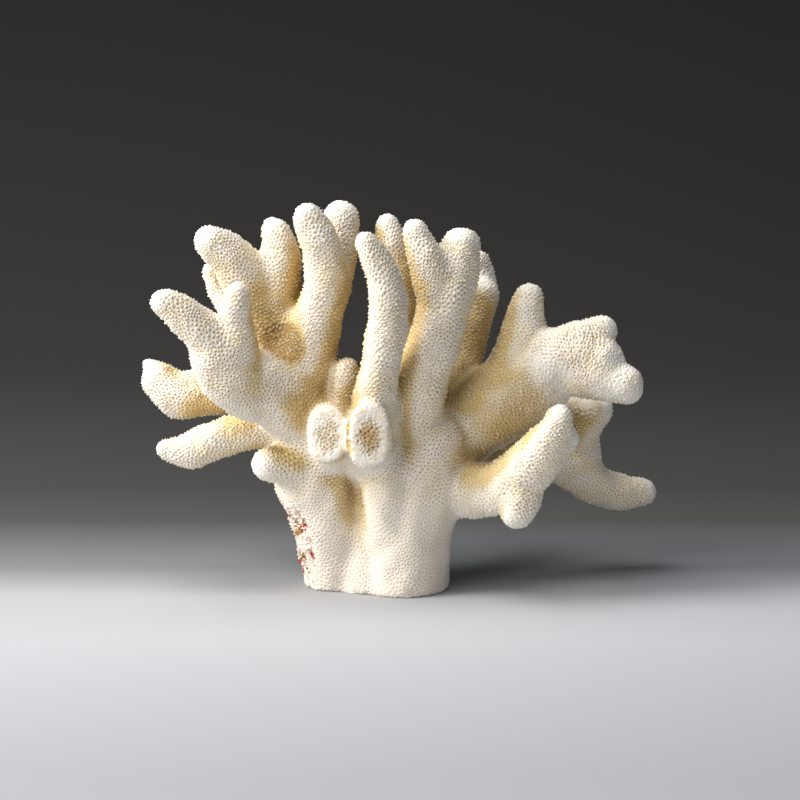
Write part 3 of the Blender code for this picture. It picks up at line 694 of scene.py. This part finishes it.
marks = {
    # Painted shade: the most enclosed hollows are darkened in colour.
    "painted_deep_shade": carried(ramp(shelter, 1.4, 2.7)),
    # Painted highlight: the raised hood tips and wall peaks are lightened.
    "crest_highlight": np.clip(np.concatenate((np.zeros(cup_count), rim_hood, wall_lean)) / 0.9, 0.0, 1.0),
    "pit": np.concatenate((np.ones(cup_count), np.zeros(2 * edge_count), np.zeros(len(cup_triangles)))),
    "tip": carried(cup_tip),
    # Yellow-brown of the hollows: real staining and painted shade together.
    "stain_and_shade": carried(stain_and_shade),
    "broken": carried(broken),
    "core": carried(core),
    "crust": carried(crust),
    "foot": carried(foot),
}
marks["pit"] *= 1 - 0.75 * carried(np.maximum(broken - broken_inside, sawn.astype(float)))


# Aragonite, as the polyps laid it down: a white, slightly glassy mineral, dull because it is full of pores.
# Ochre tissue and dirt stay in the pits and the sheltered hollows, whose colour is also painted shade,
# darkest in the deepest; growing tips are bare and white, and hood crests are lightened as a painted
# highlight.
# The grain's bump is drawn at 0.28 mm, several times its real size, because finer would not show.
GRAIN = 0.28 * MM
GRAIN_HEIGHT = 0.12 * MM
CLOUD = 9.0 * MM
SPECK = 1.6 * MM
# Clouds: name, size of the lumps, and the two noise values between which the cloud goes from 0 to 1.
CLOUDS = (
    ("warmth", CLOUD, 0.35, 0.7),
    ("tissue", SPECK * 3, 0.35, 0.65),
    ("filled", CLOUD * 0.6, 0.05, 0.5),
    ("crumbs", SPECK, 0.45, 0.70),
    ("brown_algae", SPECK * 2.0, 0.53, 0.57),
    ("red_algae", SPECK * 3.2, 0.615, 0.64),
    ("holes", SPECK * 2.4, 0.45, 0.60),
)
# Amounts: name = first times second plus third.
AMOUNTS = (
    # Yellow-brown of the hollows: real staining and painted shade together.
    ("stained_and_shaded", "stain_and_shade", 0.85, 0.0),
    # Painted shade in the most enclosed hollows.
    ("deep_shade_darkening", "painted_deep_shade", 0.9, 0.0),
    ("washed", "foot", 0.7, 0.0),
    # Painted highlight on the hood crests.
    ("crest_lightened", "crest_highlight", 0.75, 0.0),
    ("bare", "tip", -0.85, 1.0),
    ("unwashed", "foot", -0.40, 1.0),
    ("ochre_pit", "pit", "filled", 0.0),
    ("ochre_pit", "ochre_pit", "bare", 0.0),
    ("ochre_pit", "ochre_pit", "unwashed", 0.0),
    ("ochre_pit", "ochre_pit", 1.5, 0.0),
    ("white_tip", "tip", 0.5, 0.0),
    ("core_pit", "pit", "core", 0.0),
    ("eaten", "pit", "holes", 0.0),
)
# Coats: name = the under coat, mixed with the over coat by the amount.
COATS = (
    ("skin", "warmth", "#F3ECE0", "#EEE3C8"),
    # CFB268 in the hollows: partly real staining, partly painted shade.
    ("skin", "stained_and_shaded", "skin", "#CFB268"),
    # 8A6A2A: painted shade, darkening the most enclosed hollows.
    ("skin", "deep_shade_darkening", "skin", "#8A6A2A"),
    ("skin", "washed", "skin", "#EEE6DA"),
    # FBF8F1: painted highlight on the hood crests.
    ("skin", "crest_lightened", "skin", "#FBF8F1"),
    ("ochre", "tissue", "#BE8A1E", "#D6AB3C"),
    ("skin", "ochre_pit", "skin", "ochre"),
    ("skin", "white_tip", "skin", "#F4F1EA"),
    ("chalk", "crumbs", "#EDE6DA", "#D9C9A6"),
    ("chalk", "core", "chalk", "#B5965F"),
    ("chalk", "core_pit", "chalk", "#86652F"),
    ("skin", "broken", "skin", "chalk"),
    ("algae", "brown_algae", "#EFE4D8", "#A5793A"),
    ("algae", "red_algae", "algae", "#A83C3A"),
    ("algae", "eaten", "algae", "#5E401E"),
    ("skin", "crust", "skin", "algae"),
)


def colour(text):
    """Linear colour of an sRGB hex value."""
    parts = np.array([int(text[place:place + 2], 16) for place in (1, 3, 5)]) / 255
    linear = np.where(parts <= 0.04045, parts / 12.92, ((parts + 0.055) / 1.055) ** 2.4)
    return (*linear, 1.0)


def add(tree, kind, settings=(), inputs=()):
    """A node of the kind; each input is given a value, or is linked where it is given a socket."""
    node = tree.nodes.new(kind)
    for name, value in dict(settings).items():
        setattr(node, name, value)
    for name, value in dict(inputs).items():
        if isinstance(value, bpy.types.NodeSocket):
            tree.links.new(value, node.inputs[name])
        else:
            node.inputs[name].default_value = value
    return node


def porous_aragonite():
    """The marks and clouds give amounts, and the coats are laid over each other by them."""
    made = bpy.data.materials.new("porous_aragonite")
    made.use_nodes = True
    tree = made.node_tree
    shader = tree.nodes["Principled BSDF"]
    place = add(tree, "ShaderNodeTexCoord").outputs["Object"]
    known = {}
    for name in marks:
        known[name] = add(tree, "ShaderNodeAttribute", {"attribute_name": name}).outputs["Fac"]
    for name, size, low, high in CLOUDS:
        noise = add(tree, "ShaderNodeTexNoise", (),
                    {"Vector": place, "Scale": 1 / size, "Detail": 3.0, "Roughness": 0.6})
        cloud = add(tree, "ShaderNodeMapRange", {"interpolation_type": "SMOOTHSTEP"},
                    {"Value": noise.outputs["Fac"], "From Min": low, "From Max": high})
        known[name] = cloud.outputs["Result"]
    for name, *parts in AMOUNTS:
        inputs = {number: known.get(part, part) for number, part in enumerate(parts)}
        known[name] = add(tree, "ShaderNodeMath", {"operation": "MULTIPLY_ADD"}, inputs).outputs[0]
    for name, amount, *coats in COATS:
        under, over = [known[coat] if coat in known else colour(coat) for coat in coats]
        mix = add(tree, "ShaderNodeMix", {"data_type": "RGBA"}, {0: known[amount], 6: under, 7: over})
        known[name] = mix.outputs[2]
    tree.links.new(known["skin"], shader.inputs["Base Color"])
    grain = add(tree, "ShaderNodeTexNoise", (),
                {"Vector": place, "Scale": 1 / GRAIN, "Detail": 2.0, "Roughness": 0.6})
    bump = add(tree, "ShaderNodeBump", (),
               {"Height": grain.outputs["Fac"], "Strength": 0.5, "Distance": GRAIN_HEIGHT})
    tree.links.new(bump.outputs["Normal"], shader.inputs["Normal"])
    shader.inputs["Roughness"].default_value = 0.78
    shader.inputs["IOR"].default_value = 1.53
    shader.inputs["Specular IOR Level"].default_value = 0.35
    return made


coral_material = porous_aragonite()


# The skeleton's pieces: the fine skin parted where its branches fork, along the same lines as the solids.
# Below the fingers the trunk is parted in the two fused stems, the left palm and the base of the crown.
FORKS = {
    "crown_base": ((-4, 4, 30), (0.18, 0, 0.983)),
    "left_palm": ((-24.15, -3.1, 58.4), (-1, 0.2, 0.48)),
    "left_front_fingers": ((-41, -16, 74.5), (-0.85, -0.45, 0.3)),
    "left_top_fingers": ((-34.8, -0.5, 87.5), (-0.3, 0.1, 0.95)),
    "left_tall_fingers": ((-22.5, -3, 86.5), (0.3, 0, 1)),
    "left_paddle": ((-55, 11.5, 67.2), (-1, -0.1, 0)),
    "left_lower_arm": ((-55, -1.8, 53.6), (-1, 0, -0.2)),
    "front_finger": ((-1.2, -24, 76), (0.1, -0.25, 1)),
    "rear_finger": ((6.5, 1.5, 84), (0, 0.15, 1)),
    "centre_fork": ((16.5, -14, 83), (0.35, 0.1, 1)),
    "right_rear_finger": ((31.7, 12.5, 82), (0.3, 0.2, 1)),
    "right_arm": ((31.2, 4.5, 62.4), (0.8, 0, 0.6)),
    "right_front_arm": ((38, -14, 38.0), (0.75, -0.6, 0.1)),
    "right_back_arm": ((43, 14.0, 38.5), (0.85, 0.5, -0.05)),
    "back_left_finger": ((-25, 27, 62), (-0.45, 0.6, 0.65)),
    "back_left_arm": ((-29.5, 35, 45), (-0.6, 0.75, 0.3)),
    "back_middle_finger": ((14, 30, 61.5), (0.3, 0.65, 0.7)),
    "back_right_arm": ((36, 32, 43.6), (0.7, 0.7, 0.15)),
}
PIECES = ["stems", *FINGERS, "crown_base", "left_palm"]
PIECE_REACH = 2.5
TRUNK_MARGIN = 1.0
VOTE_ROUNDS = 4
CAP_DEPTH = 1.6
cup_piece = np.zeros(cup_count, dtype=int)
nearest = np.full(cup_count, PIECE_REACH)


def past_fork(name):
    """Which cups lie on the far side of the fork's plane."""
    middle, way = FORKS[name]
    return (cup_mm - np.array(middle)) @ np.array(way) > 0


for number, name in enumerate(FINGERS, start=1):
    reach = cup_reach[:, number]
    better = past_fork(name) & (reach < nearest) & (reach < cup_reach[:, 0] + TRUNK_MARGIN)
    cup_piece[better] = number
    nearest[better] = reach[better]
above_stems = (cup_piece == 0) & past_fork("crown_base")
cup_piece[above_stems] = PIECES.index("crown_base")
cup_piece[above_stems & past_fork("left_palm")] = PIECES.index("left_palm")

cup_table = neighbour_table(cup_edges, cup_count)
for _ in range(VOTE_ROUNDS):
    votes = np.stack([(cup_piece[cup_table] == number).sum(1) for number in range(len(PIECES))], axis=1)
    cup_piece = votes.argmax(axis=1)

one, two, three = cup_piece[cup_triangles].T
triangle_piece = np.where(two == three, two, one)


def piece_mesh(name, number):
    """The piece's share of the skin. Each open rim is closed by a band that goes straight in against the
    smooth skin's directions, and a fan from the band's inner edge to its middle."""
    faces = relief_faces[triangle_piece == number].reshape(-1, 3)
    used, local = np.unique(faces, return_inverse=True)
    local = local.reshape(-1, 3)
    half_edges = np.concatenate((local[:, [0, 1]], local[:, [1, 2]], local[:, [2, 0]])).astype(np.int64)
    key = half_edges.min(axis=1) * len(used) + half_edges.max(axis=1)
    _, back, times = np.unique(key, return_inverse=True, return_counts=True)
    rim = half_edges[times[back] == 1]
    places = relief_places[used]
    group = rim_groups(rim)
    rim_corners, rank = np.unique(rim, return_inverse=True)
    sunk = places[rim_corners] - CAP_DEPTH * smooth_normals[used][rim_corners]
    start, end = (len(used) + rank.reshape(-1, 2)).T
    starts = sunk[start - len(used)]
    middles = np.stack([np.bincount(group, starts[:, axis]) for axis in range(3)], axis=1)
    middles /= np.bincount(group)[:, None]
    middle = len(used) + len(sunk) + group
    outer = np.column_stack((rim[:, 1], rim[:, 0], start))
    inner = np.column_stack((rim[:, 1], start, end))
    band = np.vstack((outer, inner))
    caps = np.stack((end, start, middle), axis=1)
    added = np.vstack((sunk, middles))
    mesh = bpy.data.meshes.new(name)
    corners = np.vstack((places, added)) * MM
    triangles = np.vstack((local, band, caps))
    mesh.vertices.add(len(corners))
    mesh.vertices.foreach_set("co", corners.astype(np.float32).ravel())
    mesh.loops.add(triangles.size)
    mesh.loops.foreach_set("vertex_index", triangles.astype(np.int32).ravel())
    mesh.polygons.add(len(triangles))
    mesh.polygons.foreach_set("loop_start", np.arange(0, triangles.size, 3, dtype=np.int32))
    mesh.update(calc_edges=True)
    mesh.validate()
    mesh.shade_smooth()
    mesh.normals_split_custom_set_from_vertices(np.vstack((relief_normals[used], np.zeros_like(added))))
    for mark_name, values in marks.items():
        layer = mesh.attributes.new(mark_name, "FLOAT", "POINT")
        layer.data.foreach_set("value", np.append(values[used], np.zeros(len(added))).astype(np.float32))
    mesh.materials.append(coral_material)
    return mesh


def rim_groups(rim):
    """Number of the loop that each open edge belongs to: loop by loop, the lowest corner spreads to all."""
    corners, local = np.unique(rim, return_inverse=True)
    local = local.reshape(-1, 2)
    lowest = np.arange(len(corners))
    while True:
        both = np.minimum(lowest[local[:, 0]], lowest[local[:, 1]])
        spread_on = lowest.copy()
        np.minimum.at(spread_on, local[:, 0], both)
        np.minimum.at(spread_on, local[:, 1], both)
        if (spread_on == lowest).all():
            break
        lowest = spread_on
    return np.unique(lowest[local[:, 0]], return_inverse=True)[1]


relief_normals = corner_normals(relief_places, relief_faces.reshape(-1, 3))
smooth_normals = np.vstack((cup_normals, cup_normals[first], wall_normal))
for number, name in enumerate(PIECES):
    piece = linked(name + "_skin", piece_mesh(name, number))
    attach(piece, "root")
    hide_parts(name)


# Studio: one sheet of pale matt paper, flat under the skeleton and swept up behind it. Its colour is
# lightest just in front of the skeleton and darker towards the camera, a painted pool of light, and it
# darkens to dark grey towards the back.
SWEEP_START = 0.55
SWEEP_RADIUS = 0.45
SWEEP_STEPS = 25
SHEET_HALF_WIDTH = 2.5
SHEET_FRONT = -1.5
SHEET_TOP = 2.5
# Stops along depth plus height: a painted pool of light in front of the skeleton, then dark grey behind it.
FADE = ((-0.22, "#A0A3A8"), (-0.08, "#B4B6BA"), (-0.015, "#AEB0B4"), (0.03, "#7B7E81"), (0.12, "#464746"),
        (0.20, "#383836"), (0.50, "#2F2E2B"), (1.2, "#151311"))


def paper_sheet():
    """A profile carried across: flat to the sweep's start, a quarter circle, then straight up."""
    turn = np.radians(np.linspace(0.0, 90.0, SWEEP_STEPS))
    along = [SHEET_FRONT, 0.0, *(SWEEP_START + SWEEP_RADIUS * np.sin(turn)), SWEEP_START + SWEEP_RADIUS]
    up = [0.0, 0.0, *(SWEEP_RADIUS * (1 - np.cos(turn))), SHEET_TOP]
    side = np.array((-SHEET_HALF_WIDTH, SHEET_HALF_WIDTH))
    places = np.stack((np.tile(side, len(along)), np.repeat(along, 2), np.repeat(up, 2)), axis=1)
    left = np.arange(len(along) - 1) * 2
    mesh = bpy.data.meshes.new("paper")
    mesh.from_pydata(places.tolist(), [], np.stack((left, left + 1, left + 3, left + 2), axis=1).tolist())
    mesh.shade_smooth()
    made = bpy.data.materials.new("matt_paper")
    made.use_nodes = True
    tree = made.node_tree
    place = add(tree, "ShaderNodeTexCoord").outputs["Object"]
    apart = add(tree, "ShaderNodeSeparateXYZ", (), {"Vector": place})
    first_place = FADE[0][0]
    length = FADE[-1][0] - first_place
    depth = add(tree, "ShaderNodeMath", {"operation": "ADD"}, {0: apart.outputs["Y"], 1: apart.outputs["Z"]})
    share = add(tree, "ShaderNodeMath", {"operation": "MULTIPLY_ADD"},
                {0: depth.outputs[0], 1: 1 / length, 2: -first_place / length})
    fade = add(tree, "ShaderNodeValToRGB", (), {"Fac": share.outputs[0]})
    stops = fade.color_ramp.elements
    while len(stops) < len(FADE):
        stops.new(0.5)
    for stop, (spot, text) in zip(stops, FADE):
        stop.position = (spot - first_place) / length
        stop.color = colour(text)
    shader = tree.nodes["Principled BSDF"]
    tree.links.new(fade.outputs["Color"], shader.inputs["Base Color"])
    shader.inputs["Roughness"].default_value = 0.9
    mesh.materials.append(made)
    return mesh


linked("paper", paper_sheet())

# Light: one soft lamp from the left and a little in front, a weaker broad one nearer the camera,
# one from above, and the dim grey of the room. Each lamp: place, side of its square, watts, tint.
ROOM_GREY = "#B9BCC2"
ROOM_STRENGTH = 0.42
AIM = Vector((0.0, 0.0, 0.06))
LAMPS = (
    ("key", (-1.0, -0.28, 0.72), 0.55, 18.0, "#FFFBF7"),
    ("front", (-0.80, -1.0, 0.50), 0.9, 7.0, "#FFFDFB"),
    ("top", (-0.25, -0.05, 1.0), 0.6, 6.5, "#FFFFFF"),
)
for name, spot, size, power, tint in LAMPS:
    lamp_data = bpy.data.lights.new(name, "AREA")
    lamp_data.size = size
    lamp_data.energy = power
    lamp_data.color = colour(tint)[:3]
    lamp = bpy.data.objects.new(name, lamp_data)
    lamp.location = spot
    lamp.rotation_euler = (AIM - Vector(spot)).to_track_quat("-Z", "Y").to_euler()
    bpy.context.scene.collection.objects.link(lamp)
world = bpy.data.worlds.new("room")
world.use_nodes = True
world.node_tree.nodes["Background"].inputs["Color"].default_value = colour(ROOM_GREY)
world.node_tree.nodes["Background"].inputs["Strength"].default_value = ROOM_STRENGTH
bpy.context.scene.world = world
bpy.context.scene.view_settings.view_transform = "Standard"

for leftover in (skin_mesh, cup_mesh):
    bpy.data.meshes.remove(leftover)
